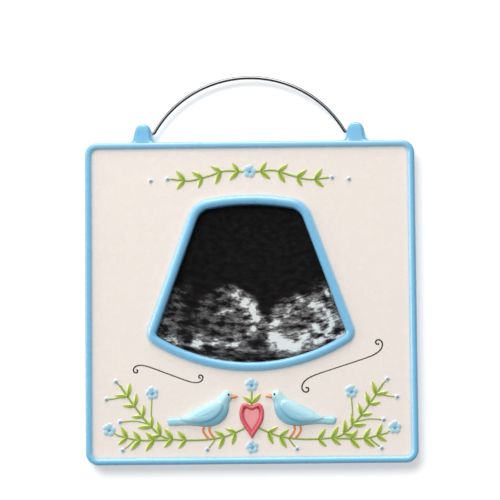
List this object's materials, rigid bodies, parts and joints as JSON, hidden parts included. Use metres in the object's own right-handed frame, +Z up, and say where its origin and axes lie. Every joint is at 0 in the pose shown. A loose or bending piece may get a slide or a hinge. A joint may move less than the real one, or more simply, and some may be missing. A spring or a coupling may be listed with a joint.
{
  "type": "picture frame",
  "caption": "Square glazed ceramic picture frame with a fan-shaped window for an ultrasound print, a swinging wire hanger, folk relief on its face and a clip-held back door.",
  "frame": {"origin": "middle of the bottom edge, half way through the depth of the plate", "axes": "+Z up the plate, +X to the right seen from the front, the face looks towards -Y"},
  "size_m": [0.165, 0.0171, 0.1951],
  "materials": {
    "cream_glaze": "cream gloss glaze over a slip-cast body",
    "blue_glaze": "pale blue gloss glaze",
    "bird_glaze": "pale blue gloss glaze",
    "beak_glaze": "orange gloss glaze",
    "red_glaze": "red gloss glaze",
    "pink_glaze": "pink gloss glaze",
    "leaf_glaze": "leaf green gloss glaze",
    "flower_glaze": "pale blue gloss glaze",
    "bud_glaze": "grey blue gloss glaze",
    "wire_steel": "bright drawn wire",
    "clip_steel": "zinc plated",
    "clear_sheet": "clear polished sheet",
    "print_paper": "glossy thermal paper, printed",
    "grey_card": "plain grey board",
    "flocked_board": "fibreboard under black flocked paper"
  },
  "bodies": {
    "casting": {"ceramic_panel": "cream_glaze", "ceramic_rim": "blue_glaze", "window_rim": "blue_glaze", "bird_left": "bird_glaze", "bird_right": "bird_glaze", "beak_left": "beak_glaze", "beak_right": "beak_glaze", "heart": "red_glaze", "heart_inset": "pink_glaze", "heart_sprig": "leaf_glaze", "garland_left": "leaf_glaze", "garland_right": "leaf_glaze", "spray_left": "leaf_glaze", "spray_right": "leaf_glaze", "flower_top": "flower_glaze", "flower_over_heart": "flower_glaze", "flower_under_heart": "flower_glaze", "flower_end_left": "flower_glaze", "flower_spray_left": "flower_glaze", "flower_end_right": "flower_glaze", "flower_spray_right": "flower_glaze", "bud_garland_end_left": "bud_glaze", "bud_top_left": "bud_glaze", "bud_spray_tip_left": "bud_glaze", "bud_spray_outer_left": "bud_glaze", "bud_spray_fork_left": "bud_glaze", "bud_spray_low_left": "bud_glaze", "bud_branch_left": "bud_glaze", "bud_garland_end_right": "bud_glaze", "bud_top_right": "bud_glaze", "bud_spray_tip_right": "bud_glaze", "bud_spray_outer_right": "bud_glaze", "bud_spray_fork_right": "bud_glaze", "bud_spray_low_right": "bud_glaze", "bud_branch_right": "bud_glaze", "clip_screw_upper_left": "clip_steel", "clip_screw_lower_left": "clip_steel", "clip_screw_upper_right": "clip_steel", "clip_screw_lower_right": "clip_steel", "photo_pane": "clear_sheet", "ultrasound_print": "print_paper", "backing_card": "grey_card", "back_frame_board": "flocked_board", "back_door": "flocked_board"},
    "handle": {"wire_handle": "wire_steel"},
    "clip_upper_left": {"turn_clip_upper_left": "clip_steel"},
    "clip_lower_left": {"turn_clip_lower_left": "clip_steel"},
    "clip_upper_right": {"turn_clip_upper_right": "clip_steel"},
    "clip_lower_right": {"turn_clip_lower_right": "clip_steel"}
  },
  "joints": [
    {"name": "handle_swing", "type": "hinge", "parent": "casting", "child": "handle", "pos_m": [0, 0, 0.1661], "axis": [1, 0, 0], "range_deg": [-115, 115]},
    {"name": "clip_upper_left_turn", "type": "hinge", "parent": "casting", "child": "clip_upper_left", "pos_m": [-0.06475, 0.00525, 0.1149], "axis": [0, 1, 0], "range_deg": [-90, 90]},
    {"name": "clip_lower_left_turn", "type": "hinge", "parent": "casting", "child": "clip_lower_left", "pos_m": [-0.06475, 0.00525, 0.0649], "axis": [0, 1, 0], "range_deg": [-90, 90]},
    {"name": "clip_upper_right_turn", "type": "hinge", "parent": "casting", "child": "clip_upper_right", "pos_m": [0.06475, 0.00525, 0.1149], "axis": [0, 1, 0], "range_deg": [-90, 90]},
    {"name": "clip_lower_right_turn", "type": "hinge", "parent": "casting", "child": "clip_lower_right", "pos_m": [0.06475, 0.00525, 0.0649], "axis": [0, 1, 0], "range_deg": [-90, 90]}
  ]
}
